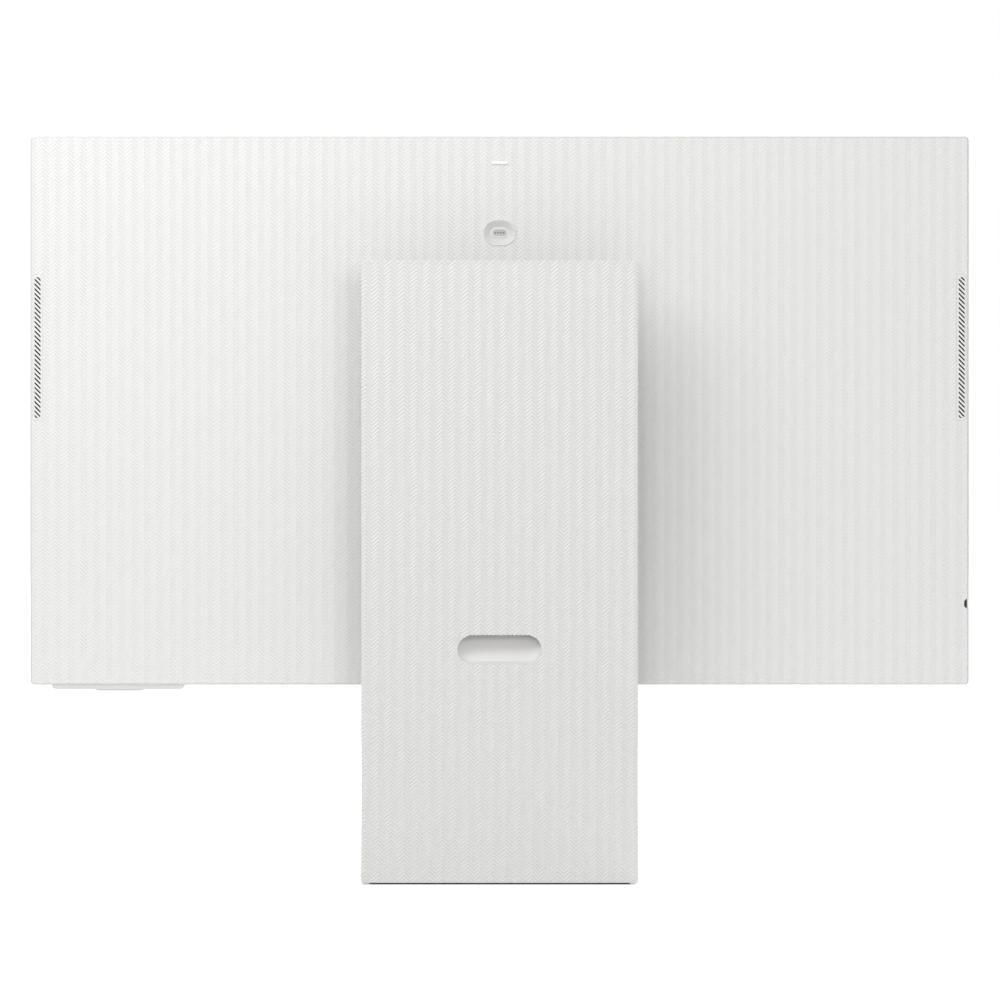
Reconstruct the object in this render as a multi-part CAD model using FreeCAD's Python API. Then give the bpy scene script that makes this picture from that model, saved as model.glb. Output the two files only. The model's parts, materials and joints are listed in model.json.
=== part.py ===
import FreeCAD
import Part
import math
import os

# Slim all-in-one computer on a height-adjustable column stand.
# Millimetres. +Z is up, the screen faces -Y, and the origin is the middle of the footprint on the desk.
# The display is drawn at the top of its height travel, upright.

V = FreeCAD.Vector
X_AXIS, Y_AXIS, Z_AXIS = V(1, 0, 0), V(0, 1, 0), V(0, 0, 1)

# ---------------------------------------------------------------- driving dimensions
HEAD_W, HEAD_H, HEAD_T = 713.9, 417.0, 11.4
TOTAL_H = 566.2
STAND_W, NECK_H, NECK_T = 208.5, 470.0, 20.0
BASE_D, BASE_T, PAD_T = 215.7, 8.0, 1.2
HEAD_TO_NECK = 54.0
HEIGHT_TRAVEL = 120.0
SEAM = 0.2  # open joint line between neighbouring covers
SKIN = 1.8  # wall of the rear cover
NECK_SKIN = 2.0

# ---------------------------------------------------------------- derived planes
HALF_W = HEAD_W / 2
HEAD_BOTTOM = TOTAL_H - HEAD_H
NECK_REAR = BASE_D / 2
NECK_FRONT = NECK_REAR - NECK_T
HEAD_REAR = NECK_FRONT - HEAD_TO_NECK
HEAD_FRONT = HEAD_REAR - HEAD_T
COVER_SPLIT = HEAD_REAR - 4.0  # where the rear cover meets the front frame
HEAD_CORNER = 3.0
EDGE_CHAMFER = 1.3
HALF_S = STAND_W / 2

# Display panel stack, from the front
RIM = 1.6
CHIN = 12.0
PANEL_TOP = TOTAL_H - RIM
PANEL_BOTTOM = HEAD_BOTTOM + CHIN
CELL_T, SHEETS_T, GUIDE_T, BACKPLATE_T = 1.3, 0.9, 2.0, 0.8
CELL_FRONT = HEAD_FRONT + 0.2
SHEETS_FRONT = CELL_FRONT + CELL_T + 0.05
GUIDE_FRONT = SHEETS_FRONT + SHEETS_T + 0.05
BACKPLATE_FRONT = GUIDE_FRONT + GUIDE_T + 0.1
BACKPLATE_REAR = BACKPLATE_FRONT + BACKPLATE_T

# Smooth pod on the display's back: boards, sockets and the stand socket
POD_HALF, POD_T, POD_SKIN = 92.0, 8.0, 2.0
POD_BOTTOM, POD_TOP = 205.0, 440.0
POD_REAR = HEAD_REAR + POD_T

# Hinge
PIVOT_Y, PIVOT_Z = 56.0, 372.0
PIN_R = 4.0
BARREL_R, BARREL_HALF = 8.0, 14.0
EAR_R, EAR_IN, EAR_OUT = 8.5, 15.3, 19.3

# Stand socket and its latch
BOSS_HALF, BOSS_BOTTOM, BOSS_TOP = 25.0, 350.0, 394.0
BRACKET_HALF, BRACKET_BOTTOM, BRACKET_TOP, BRACKET_T = 42.0, 330.0, 414.0, 2.5
VESA = 100.0

# Column mechanism
FRAME_T = 2.0
FRAME_HALF = 95.0
FRAME_FACE = NECK_REAR - NECK_SKIN - SEAM - FRAME_T  # front of the frame's back plate
RAIL_X = 60.0
RIVET_Z = (240, 320, 400)
STOP_X = 80.0
CARRIAGE_BOTTOM, CARRIAGE_TOP = 340.0, 412.0
CARRIAGE_HALF = 72.0
CARRIAGE_FRONT, CARRIAGE_T = 93.0, 3.0
COIL_X, COIL_Z, COIL_R = 24.0, 440.0, 17.7
COIL_FRONT, COIL_W, TAPE_T = 91.8, 9.8, 0.3

# Cable duct through the column: its rear mouth, and how far its front mouth is raised
DUCT_HALF, DUCT_BOTTOM, DUCT_H, DUCT_RISE, DUCT_WALL = 31.65, 165.7, 21.9, 23.0, 1.6

# Details of the display's back
GRILLE_IN, GRILLE_OUT, GRILLE_BOTTOM, GRILLE_TOP = 347.8, 354.9, 350.4, 461.1
SLOT_IN, SLOT_OUT, SLOT_BOTTOM, SLOT_TOP = 349.3, 353.9, 352.0, 459.3
SLOT_PITCH, SLOT_W = 3.58, 1.1
SPEAKER_IN, SPEAKER_OUT, LEAD_R = 300.0, 346.0, 0.7
DOCK_Z, DOCK_W, DOCK_H = 493.1, 22.6, 17.2
RIB_Z, RIB_W, RIB_H, RIB_PROUD = 546.3, 12.6, 2.0, 0.4
LOCK_Z = 210.85
LOCK_OPEN, LOCK_NARROW = 8.05, 3.9  # height of the lock notch at the edge and inside
LOCK_EDGE, LOCK_INNER = 355.65, 353.5
BAR_IN, BAR_OUT, BAR_FRONT, BAR_REAR, BAR_H = 239.4, 340.6, 24.0, 32.0, 3.6
KEY_IN, KEY_OUT, KEY_PROUD, KEY_SWITCH_H = 269.0, 308.5, 1.0, 0.05
KEY_FRONT, KEY_REAR = 25.5, 30.5


# ---------------------------------------------------------------- shape helpers
def box(x0, x1, y0, y1, z0, z1):
    return Part.makeBox(x1 - x0, y1 - y0, z1 - z0, V(x0, y0, z0))


def cyl(radius, start, direction, length):
    return Part.makeCylinder(radius, length, start, direction)


def joined(shapes):
    """One solid from shapes that share volume or faces."""
    whole = shapes[0].multiFuse(shapes[1:]) if len(shapes) > 1 else shapes[0]
    return whole.removeSplitter()


def cut(shape, tools):
    return shape.cut(Part.makeCompound(tools)).removeSplitter()


def outline(x0, x1, z0, z1, r, y):
    """A rectangle with round corners, as a wire in the plane at y."""
    if r <= 0:
        corners = [(x0, z0), (x1, z0), (x1, z1), (x0, z1), (x0, z0)]
        return Part.makePolygon([V(x, y, z) for x, z in corners])
    edges = []
    centres = [(x1 - r, z0 + r, -90), (x1 - r, z1 - r, 0), (x0 + r, z1 - r, 90), (x0 + r, z0 + r, 180)]
    last = None
    for cx, cz, start in centres:
        a, m, b = (math.radians(start + k) for k in (0, 45, 90))
        p, q, s = (V(cx + r * math.cos(t), y, cz + r * math.sin(t)) for t in (a, m, b))
        if last is not None and last.distanceToPoint(p) > 1e-6:
            edges.append(Part.LineSegment(last, p).toShape())
        edges.append(Part.Arc(p, q, s).toShape())
        last = s
    first = edges[0].Vertexes[0].Point
    if last.distanceToPoint(first) > 1e-6:
        edges.append(Part.LineSegment(last, first).toShape())
    return Part.Wire(edges)


def plate(x0, x1, z0, z1, y0, y1, r=0.0):
    """A slab standing in the XZ plane, y0 to y1 thick, with round corners."""
    return Part.Face(outline(x0, x1, z0, z1, r, y0)).extrude(V(0, y1 - y0, 0))


def oblong(half_w, z_mid, height, y0, y1, x_mid=0.0):
    return plate(x_mid - half_w, x_mid + half_w, z_mid - height / 2, z_mid + height / 2, y0, y1, height / 2)


def slab(x0, x1, y0, y1, z0, z1, r):
    """A flat slab lying in the XY plane with round corners."""
    shape = plate(x0, x1, y0, y1, -z1, -z0, r)
    shape.rotate(V(0, 0, 0), X_AXIS, -90)
    return shape


def mirrored_x(shape):
    return shape.mirror(V(0, 0, 0), X_AXIS)


def prism(points, direction):
    """A polygon pushed along a direction."""
    return Part.Face(Part.makePolygon([V(*p) for p in points] + [V(*points[0])])).extrude(direction)


def rim_edges(shape, y):
    """The outer edges of a standing plate that lie in the plane at y."""
    in_plane = [f for f in shape.Faces if all(abs(v.Y - y) < 1e-6 for v in f.Vertexes)]
    face = max(in_plane, key=lambda f: f.BoundBox.DiagonalLength)
    return face.OuterWire.Edges


def screw(x, y, z, direction, shank_r, length, head_r, head_h):
    """A pan-head screw: the point is where the head meets the clamped face, direction runs to its tip."""
    shank = cyl(shank_r, V(x, y, z), direction, length)
    head = cyl(head_r, V(x, y, z), direction * -1, head_h)
    recess = cyl(head_r * 0.4, V(x, y, z) - direction * head_h, direction, head_h * 0.5)
    return cut(joined([shank, head]), [recess])


def tube(points, radius):
    """A wire along straight runs joined by tangent arcs."""
    pts = [V(*p) for p in points]
    edges, start = [], pts[0]
    for before, corner, after in zip(pts, pts[1:], pts[2:]):
        u, w = (before - corner), (after - corner)
        reach = 0.45 * min(u.Length, w.Length)
        u.normalize()
        w.normalize()
        first, last = corner + u * reach, corner + w * reach
        turn = math.pi - u.getAngle(w)
        bend = reach / math.tan(turn / 2)
        middle = (u + w).normalize()
        centre = corner + middle * math.hypot(reach, bend)
        edges.append(Part.LineSegment(start, first).toShape())
        edges.append(Part.Arc(first, centre - middle * bend, last).toShape())
        start = last
    edges.append(Part.LineSegment(start, pts[-1]).toShape())
    path = Part.Wire(edges)
    ring = Part.Wire(Part.makeCircle(radius, pts[0], pts[1] - pts[0]))
    return path.makePipeShell([ring], True, False)


def coil_spring(mean_r, wire_r, pitch, turns, start, direction):
    """A helical spring whose axis runs from start along direction."""
    helix = Part.makeHelix(pitch, pitch * turns, mean_r)
    ring = Part.Wire(Part.makeCircle(wire_r, V(mean_r, 0, 0), V(0, 1, pitch / (2 * math.pi * mean_r))))
    spring = Part.Wire(helix).makePipeShell([ring], True, True)
    spring.Placement = FreeCAD.Placement(start, FreeCAD.Rotation(Z_AXIS, direction))
    return spring


# ---------------------------------------------------------------- cable duct
def duct_body(grow, y0=NECK_FRONT, y1=NECK_REAR):
    """The duct's passage from depth y0 to y1, wider all round by grow. It rises towards the display."""
    slope = DUCT_RISE / NECK_T
    middle = DUCT_BOTTOM + DUCT_H / 2 + slope * (NECK_REAR - y0)
    half_h = DUCT_H / 2 + grow
    mouth = outline(-DUCT_HALF - grow, DUCT_HALF + grow, middle - half_h, middle + half_h, half_h, y0)
    return Part.Face(mouth).extrude(V(0, y1 - y0, -slope * (y1 - y0)))


def cable_duct():
    return cut(duct_body(DUCT_WALL, NECK_FRONT + 0.3, NECK_REAR - NECK_SKIN), [duct_body(0)])


# ---------------------------------------------------------------- base
def base_plate():
    core = slab(-HALF_S + 2, HALF_S - 2, -NECK_REAR + 2, NECK_REAR - 2.2, PAD_T, PAD_T + 5, 3)
    holes = []
    for x in (-75, -30, 30, 75):
        holes.append(cyl(2.6, V(x, 96, 0), Z_AXIS, 10))
        holes.append(cyl(5.2, V(x, 96, PAD_T), Z_AXIS, 2.8))
    return cut(core, holes)


def base_cover():
    shell = slab(-HALF_S, HALF_S, -NECK_REAR, NECK_FRONT - SEAM, PAD_T, BASE_T, 4)
    shell = joined([shell, box(-HALF_S, HALF_S, NECK_FRONT - 10, NECK_FRONT - SEAM, PAD_T, BASE_T)])
    top = max(shell.Faces, key=lambda f: f.CenterOfMass.z)
    edges = [e for e in top.OuterWire.Edges if e.CenterOfMass.y < NECK_FRONT - SEAM - 1]
    shell = shell.makeChamfer(0.6, edges)
    pocket = slab(-HALF_S + 1.9, HALF_S - 1.9, -NECK_REAR + 1.9, NECK_FRONT, 0, PAD_T + 5.1, 3)
    return cut(shell, [pocket, box(-HALF_S + 1.9, HALF_S - 1.9, NECK_FRONT - 10, NECK_FRONT, 0, PAD_T + 5.1)])


def base_pad():
    pad = slab(-HALF_S + 6, HALF_S - 6, -NECK_REAR + 6, NECK_REAR - 4, 0, PAD_T, 6)
    return cut(pad, [cyl(6, V(x, 96, -1), Z_AXIS, 4) for x in (-75, -30, 30, 75)])


def base_screws():
    found = []
    for x in (-75, -30, 30, 75):
        head = cyl(5, V(x, 96, PAD_T + 0.2), Z_AXIS, 2.6)
        shank = cyl(2.45, V(x, 96, PAD_T + 2.8), Z_AXIS, 7)
        drive = cyl(1.8, V(x, 96, PAD_T + 0.2), Z_AXIS, 1.4)
        found.append(cut(joined([head, shank]), [drive]))
    return found


# ---------------------------------------------------------------- column
def neck_rear_panel():
    panel = plate(-HALF_S, HALF_S, PAD_T, NECK_H, NECK_REAR - NECK_SKIN, NECK_REAR, 0.8)
    panel = panel.makeChamfer(0.5, rim_edges(panel, NECK_REAR))
    return cut(panel, [duct_body(0)])


def neck_front_cover():
    back = NECK_REAR - NECK_SKIN - SEAM
    shell = plate(-HALF_S, HALF_S, PAD_T, NECK_H, NECK_FRONT, back, 0.8)
    shell = shell.makeChamfer(0.5, rim_edges(shell, NECK_FRONT))
    inside = box(-HALF_S + NECK_SKIN, HALF_S - NECK_SKIN, NECK_FRONT + NECK_SKIN, back, 0, NECK_H - NECK_SKIN)
    foot = box(-HALF_S + NECK_SKIN, HALF_S - NECK_SKIN, NECK_FRONT - 1, back, 0, BASE_T + SEAM)
    arm_slot = plate(-27, 27, 226, 398, NECK_FRONT - 1, NECK_FRONT + NECK_SKIN + 1, 4)
    return cut(shell, [inside, foot, arm_slot, duct_body(DUCT_WALL + 0.1)])


def neck_frame():
    foot_z, top_z, wall_front = PAD_T + 5, 462.0, CARRIAGE_FRONT
    back = box(-FRAME_HALF, FRAME_HALF, FRAME_FACE, FRAME_FACE + FRAME_T, foot_z, top_z)
    mid = FRAME_HALF - FRAME_T / 2
    half_t = FRAME_T / 2
    sides = [box(s * mid - half_t, s * mid + half_t, wall_front, FRAME_FACE, foot_z, top_z) for s in (-1, 1)]
    foot = box(-FRAME_HALF, FRAME_HALF, 90.5, FRAME_FACE, foot_z, foot_z + 3)
    frame = joined([back, *sides, foot])
    holes = [cyl(2.5, V(x, 96, 0), Z_AXIS, 12) for x in (-75, -30, 30, 75)]
    holes += [cyl(1.5, V(s * RAIL_X, FRAME_FACE - 1, z), Y_AXIS, 5) for s in (-1, 1) for z in RIVET_Z]
    holes += [cyl(3, V(s * COIL_X, FRAME_FACE - 1, COIL_Z), Y_AXIS, 5) for s in (-1, 1)]
    windows = [plate(s * 48 - 18, s * 48 + 18, 40, 140, FRAME_FACE - 1, FRAME_FACE + 3, 8) for s in (-1, 1)]
    return cut(frame, [*holes, *windows, duct_body(DUCT_WALL + 0.1)])


def slide_rails():
    """T-section rails, a wide head on a stem, so that the sliders can't leave them. Riveted to the frame."""
    found = []
    for s in (-1, 1):
        head = box(-5, 5, FRAME_FACE - 5, FRAME_FACE - 3, 216, 432)
        stem = box(-2.5, 2.5, FRAME_FACE - 3, FRAME_FACE, 216, 432)
        rivets = [cyl(1.45, V(0, FRAME_FACE - 1, z), Y_AXIS, 1 + FRAME_T) for z in RIVET_Z]
        rail = joined([head, stem, *rivets])
        rail.translate(V(s * RAIL_X, 0, 0))
        found.append(rail)
    return found


def travel_stops():
    """Rubber blocks that end the carriage's travel at both ends."""
    low = CARRIAGE_BOTTOM - HEIGHT_TRAVEL
    found = []
    for s in (-1, 1):
        for z0, z1 in ((low - 8, low - 0.3), (CARRIAGE_TOP + 0.3, CARRIAGE_TOP + 8)):
            found.append(plate(s * STOP_X - 5, s * STOP_X + 5, z0, z1, FRAME_FACE - 11, FRAME_FACE, 1.5))
    return found


def spring_spindles():
    found = []
    for s in (-1, 1):
        shaft = cyl(PIN_R, V(s * COIL_X, 90.6, COIL_Z), Y_AXIS, FRAME_FACE - 90.6)
        tail = cyl(2.9, V(s * COIL_X, FRAME_FACE, COIL_Z), Y_AXIS, FRAME_T - 0.1)
        head = cyl(6.5, V(s * COIL_X, 90.6, COIL_Z), Y_AXIS, 0.9)
        found.append(joined([shaft, tail, head]))
    return found


def spring_coil(side):
    """A constant-force tape spring wound on its drum, which runs on a spindle."""
    start = V(side * COIL_X, COIL_FRONT, COIL_Z)
    roll = cut(cyl(COIL_R, start, Y_AXIS, COIL_W), [cyl(PIN_R + 0.05, start - Y_AXIS, Y_AXIS, COIL_W + 2)])
    grooves = []
    for r in (11.0, 13.0, 15.0):
        ring = cut(cyl(r + 0.3, start, Y_AXIS, 0.4), [cyl(r, start - Y_AXIS, Y_AXIS, 3)])
        grooves.append(ring)
    return cut(roll, grooves)


def spring_tape(side):
    """The unwound end of the tape, from its coil down to the carriage."""
    near = side * (COIL_X + COIL_R + TAPE_T)
    x0, x1 = sorted((near, near + side * TAPE_T))
    return box(x0, x1, COIL_FRONT, COIL_FRONT + COIL_W, CARRIAGE_TOP + 0.5, COIL_Z)


# ---------------------------------------------------------------- carriage and hinge
def carriage_plate():
    rear = CARRIAGE_FRONT + CARRIAGE_T
    body = plate(-CARRIAGE_HALF, CARRIAGE_HALF, CARRIAGE_BOTTOM, CARRIAGE_TOP, CARRIAGE_FRONT, rear, 5)
    tape_x = COIL_X + COIL_R + 2 * TAPE_T
    tabs = []
    for s in (-1, 1):
        tab = box(tape_x, tape_x + 2, CARRIAGE_FRONT, COIL_FRONT + COIL_W, 400, 418)
        tabs.append(tab if s > 0 else mirrored_x(tab))
    spans = [(s * STOP_X - 9, s * STOP_X + 9) for s in (-1, 1)]
    ears = [box(x0, x1, CARRIAGE_FRONT, rear, CARRIAGE_BOTTOM, CARRIAGE_TOP) for x0, x1 in spans]
    body = joined([body, *tabs, *ears])
    holes = [cyl(2.1, V(x, CARRIAGE_FRONT - 1, z), Y_AXIS, 6) for x in (-28, 28) for z in (353, 391)]
    windows = [plate(s * 44 - 6, s * 44 + 6, 352, 392, CARRIAGE_FRONT - 1, rear + 1, 5) for s in (-1, 1)]
    return cut(body, holes + windows)


def slider_pads():
    """Acetal sliders that wrap the rails, two on each side."""
    y_web, y_head, y_lip = CARRIAGE_FRONT + CARRIAGE_T, FRAME_FACE - 5, FRAME_FACE - 3
    found = []
    for s in (-1, 1):
        for z0 in (CARRIAGE_BOTTOM + 1, CARRIAGE_TOP - 21):
            pad = box(-9, 9, y_web, y_lip + 1.9, z0, z0 + 20)
            head_run = box(-5.1, 5.1, y_head - 0.1, y_lip + 0.1, z0 - 1, z0 + 21)
            stem_run = box(-2.6, 2.6, y_lip, y_lip + 3, z0 - 1, z0 + 21)
            pad = cut(pad, [head_run, stem_run])
            pad.translate(V(s * RAIL_X, 0, 0))
            found.append(pad)
    return found


def hinge_arm():
    root = CARRIAGE_FRONT - 2.8
    flange = plate(-35, 35, 346, 398, root, CARRIAGE_FRONT, 5)
    block = plate(-20, 20, BOSS_BOTTOM, BOSS_TOP, 74, root, 3)
    profile = [(root, -20), (root, 20), (74, 20), (PIVOT_Y, 7.9), (PIVOT_Y, -7.9), (74, -20)]
    web = prism([(-BARREL_HALF, y, PIVOT_Z + z) for y, z in profile], V(2 * BARREL_HALF, 0, 0))
    barrel = cyl(BARREL_R, V(-BARREL_HALF, PIVOT_Y, PIVOT_Z), X_AXIS, 2 * BARREL_HALF)
    arm = joined([flange, block, web, barrel])
    bore = cyl(PIN_R + 0.02, V(-20, PIVOT_Y, PIVOT_Z), X_AXIS, 40)
    holes = [cyl(1.7, V(x, root - 1, z), Y_AXIS, 5) for x in (-28, 28) for z in (353, 391)]
    return cut(arm, [bore, *holes])


def arm_screws():
    """Screwed from behind through the carriage into the arm's flange."""
    rear = CARRIAGE_FRONT + CARRIAGE_T
    return [screw(x, rear, z, V(0, -1, 0), 1.65, 5.5, 3.4, 1.8) for x in (-28, 28) for z in (353, 391)]


def hinge_cover():
    """A moulded sleeve round the arm, between the column and the hinge."""
    sleeve = plate(-23, 23, 347, 397, 68, NECK_FRONT - 0.6, 5)
    return cut(sleeve, [plate(-20.1, 20.1, 349.9, 394.1, 60, 90, 3.1)])


def hinge_pin():
    shaft = cyl(PIN_R, V(-32, PIVOT_Y, PIVOT_Z), X_AXIS, 65)
    head = cyl(6.5, V(-34.5, PIVOT_Y, PIVOT_Z), X_AXIS, 2.5)
    return joined([shaft, head])


def pin_nut():
    flats = []
    for k in range(6):
        a = math.radians(60 * k)
        flats.append((30.5, PIVOT_Y + 7.2 * math.cos(a), PIVOT_Z + 7.2 * math.sin(a)))
    nut = prism(flats, V(4, 0, 0))
    return cut(nut, [cyl(PIN_R + 0.02, V(29, PIVOT_Y, PIVOT_Z), X_AXIS, 8)])


def friction_washers():
    found = []
    for s in (-1, 1):
        x = BARREL_HALF + 0.05 if s > 0 else -BARREL_HALF - 1.15
        start = V(x, PIVOT_Y, PIVOT_Z)
        found.append(cut(cyl(7.6, start, X_AXIS, 1.1), [cyl(PIN_R + 0.02, start - X_AXIS, X_AXIS, 4)]))
    return found


def tilt_springs():
    """Torsion springs on the pin's ends that carry part of the display's weight."""
    found = []
    for s in (-1, 1):
        x = 21.6 if s > 0 else -29.6
        found.append(coil_spring(6.0, 0.75, 1.7, 4.5, V(x, PIVOT_Y, PIVOT_Z), X_AXIS))
    return found


# ---------------------------------------------------------------- display: stand socket
def mount_bracket():
    face = plate(-BRACKET_HALF, BRACKET_HALF, BRACKET_BOTTOM, BRACKET_TOP, POD_REAR, POD_REAR + BRACKET_T, 7)
    boss = plate(-BOSS_HALF, BOSS_HALF, BOSS_BOTTOM, BOSS_TOP, HEAD_REAR + 0.2, POD_REAR, 3)
    ears = []
    for s in (-1, 1):
        x = EAR_IN if s > 0 else -EAR_OUT
        lug = box(x, x + EAR_OUT - EAR_IN, POD_REAR + BRACKET_T, PIVOT_Y, PIVOT_Z - EAR_R, PIVOT_Z + EAR_R)
        ears += [lug, cyl(EAR_R, V(x, PIVOT_Y, PIVOT_Z), X_AXIS, EAR_OUT - EAR_IN)]
    bracket = joined([face, boss, *ears])
    catch = box(-8.5, 8.5, POD_REAR - 5.9, POD_REAR - 2.8, BOSS_BOTTOM - 1, BOSS_BOTTOM + 3)
    return cut(bracket, [cyl(PIN_R + 0.05, V(-25, PIVOT_Y, PIVOT_Z), X_AXIS, 50), catch])


def release_latch():
    """Pull down to let the stand go: the tongue leaves the catch in the bracket's boss."""
    tongue = box(-8, 8, POD_REAR - 5.6, POD_REAR - 3.1, 317, BOSS_BOTTOM + 2.5)
    key = plate(-12, 12, 314, 324, POD_REAR - 3.1, POD_REAR + 1.1, 2.5)
    ridge = box(-9, 9, POD_REAR + 1.1, POD_REAR + 1.6, 318, 320)
    return joined([tongue, key, ridge])


def mount_frame():
    """Steel plate that carries the stand's load into the panel's back plate."""
    face = plate(-64, 64, 312, 434, BACKPLATE_REAR + 3.2, HEAD_REAR - 0.1, 4)
    low, high = BACKPLATE_REAR, BACKPLATE_REAR + 3.2
    feet = [box(s * 58 - 5, s * 58 + 5, low, high, z, z + 12) for s in (-1, 1) for z in (314, 420)]
    return joined([face, *feet])


def vesa_nuts():
    found = []
    for x in (-VESA / 2, VESA / 2):
        for z in (PIVOT_Z - VESA / 2, PIVOT_Z + VESA / 2):
            start = V(x, HEAD_REAR - 0.1, z)
            body = cyl(4.0, start, Y_AXIS, POD_T + 0.1)
            found.append(cut(body, [cyl(2.0, start + Y_AXIS, Y_AXIS, POD_T)]))
    return found


def pod_ports(grow=0.0):
    """Socket outlines on the pod's underside: (x middle, half width, half depth, corner)."""
    sizes = [(-46, 4.5, 1.65, 1.6), (-20, 4.5, 1.65, 1.6), (8, 3.3, 1.5, 0.6)]
    return [(x, half + grow, deep + grow, r) for x, half, deep, r in sizes]


PORT_Y = HEAD_REAR + 3.05
JACK_X, JACK_Y, JACK_R, JACK_HALF = 44.0, HEAD_REAR + 3.1, 2.3, 4.5


def pod_cover():
    shell = plate(-POD_HALF, POD_HALF, POD_BOTTOM, POD_TOP, HEAD_REAR, POD_REAR, 10)
    shell = shell.makeFillet(2.2, rim_edges(shell, POD_REAR))
    half, low, high = POD_HALF - POD_SKIN, POD_BOTTOM + POD_SKIN, POD_TOP - POD_SKIN
    inside = plate(-half, half, low, high, HEAD_REAR - 1, POD_REAR - POD_SKIN, 8)
    boss = BOSS_HALF + SEAM
    holes = [plate(-boss, boss, BOSS_BOTTOM - SEAM, BOSS_TOP + SEAM, HEAD_REAR, POD_REAR + 1, 3.2)]
    holes.append(plate(-12.3, 12.3, 310.4, 324.4, HEAD_REAR, POD_REAR + 1, 2.7))
    for x in (-VESA / 2, VESA / 2):
        for z in (PIVOT_Z - VESA / 2, PIVOT_Z + VESA / 2):
            holes.append(cyl(4.05, V(x, HEAD_REAR, z), Y_AXIS, POD_T + 1))
    for x, half, deep, r in pod_ports(0.15):
        y0, y1 = PORT_Y - deep, PORT_Y + deep
        holes.append(slab(x - half, x + half, y0, y1, POD_BOTTOM - 1, POD_BOTTOM + 3, r))
    holes.append(cyl(JACK_R + 0.6, V(JACK_X, JACK_Y, POD_BOTTOM - 1), Z_AXIS, 4))
    vents = [plate(x - 0.75, x + 0.75, POD_TOP - 26, POD_TOP - 10, HEAD_REAR + 1, POD_REAR + 1, 0.7)
             for x in [-40 + 4 * k for k in range(21)] if abs(abs(x) - VESA / 2) > 6]
    return cut(shell, [inside, *holes, *vents])


# ---------------------------------------------------------------- display: boards in the pod
BOARD_REAR, BOARD_T = HEAD_REAR + 1.4, 1.2
BOARD_HALF, BOARD_LOW, BOARD_HIGH = 80.0, 210.0, 306.0
BOARD_FIXINGS = [(x, z) for x in (-75, 75) for z in (215, 301)]


def main_board():
    """The computer's board with its memory and storage chips."""
    board = plate(-BOARD_HALF, BOARD_HALF, BOARD_LOW, BOARD_HIGH, BOARD_REAR - BOARD_T, BOARD_REAR, 2)
    chip_top = BOARD_REAR + 1.0
    memory = [box(x, x + 11, BOARD_REAR, chip_top, z, z + 9) for x in (26, 40) for z in (250, 262, 274)]
    storage = box(-44, -30, BOARD_REAR, chip_top, 254, 272)
    holes = [cyl(1.6, V(x, BOARD_REAR - 2, z), Y_AXIS, 4) for x, z in BOARD_FIXINGS]
    x0, x1 = JACK_X - JACK_HALF, JACK_X + JACK_HALF
    jack_notch = box(x0, x1, HEAD_REAR, BOARD_REAR + 1, BOARD_LOW - 1, POD_BOTTOM + 12.3)
    return cut(joined([board, *memory, storage]), [*holes, jack_notch])


def board_screws():
    return [screw(x, BOARD_REAR, z, V(0, -1, 0), 1.35, 5.0, 2.8, 1.5) for x, z in BOARD_FIXINGS]


def standoffs():
    """Threaded posts on the panel's back plate that carry the main board."""
    tall = BOARD_REAR - BOARD_T - BACKPLATE_REAR
    found = []
    for x, z in BOARD_FIXINGS:
        post = cyl(3.0, V(x, BACKPLATE_REAR, z), Y_AXIS, tall)
        found.append((post, cyl(1.4, V(x, BACKPLATE_REAR + 0.5, z), Y_AXIS, tall)))
    return found


def processor():
    carrier = box(-18, 18, BOARD_REAR, BOARD_REAR + 0.8, 246, 282)
    die = box(-11, 11, BOARD_REAR + 0.8, BOARD_REAR + 1.4, 253, 275)
    return joined([carrier, die])


def heat_spreader():
    """Finned aluminium plate pressed on the processor."""
    low = BOARD_REAR + 1.4
    base = plate(-45, 45, 240, 290, low, low + 1.2, 3)
    fin_top = POD_REAR - POD_SKIN - 0.3
    fins = [box(-44 + 4 * k, -43.1 + 4 * k, low + 1.2, fin_top, 242, 288) for k in range(23)]
    return joined([base, *fins])


def wireless_card():
    can = box(-70, -52, BOARD_REAR, BOARD_REAR + 2.2, 262, 290)
    return can.makeChamfer(0.4, [e for e in can.Edges if abs(e.CenterOfMass.y - BOARD_REAR - 2.2) < 1e-6])


def data_sockets():
    """Two reversible data sockets and a small video socket: steel shells with a tongue in each."""
    found = []
    for x, half, deep, r in pod_ports():
        low, wall, edge = POD_BOTTOM + 0.3, 0.3, half - 1.2
        y0, y1, x0, x1 = PORT_Y - deep, PORT_Y + deep, x - half, x + half
        shell = slab(x0, x1, y0, y1, low, low + 8.7, r)
        mouth = slab(x0 + wall, x1 - wall, y0 + wall, y1 - wall, low - 1, low + 6.7, r - wall)
        tongue = box(x - edge, x + edge, PORT_Y - 0.35, PORT_Y + 0.35, low + 0.9, low + 6.7)
        found.append(joined([cut(shell, [mouth]), tongue]))
    return found


def power_socket():
    low = POD_BOTTOM + 0.3
    collar = cyl(JACK_R + 0.5, V(JACK_X, JACK_Y, low), Z_AXIS, 3)
    block = box(JACK_X - JACK_HALF, JACK_X + JACK_HALF, JACK_Y - 2.8, JACK_Y + 2.8, low + 2.5, low + 12)
    bore = cyl(JACK_R, V(JACK_X, JACK_Y, low - 1), Z_AXIS, 10)
    pin = cyl(0.8, V(JACK_X, JACK_Y, low + 1), Z_AXIS, 9)
    return joined([cut(joined([collar, block]), [bore]), pin])


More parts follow.
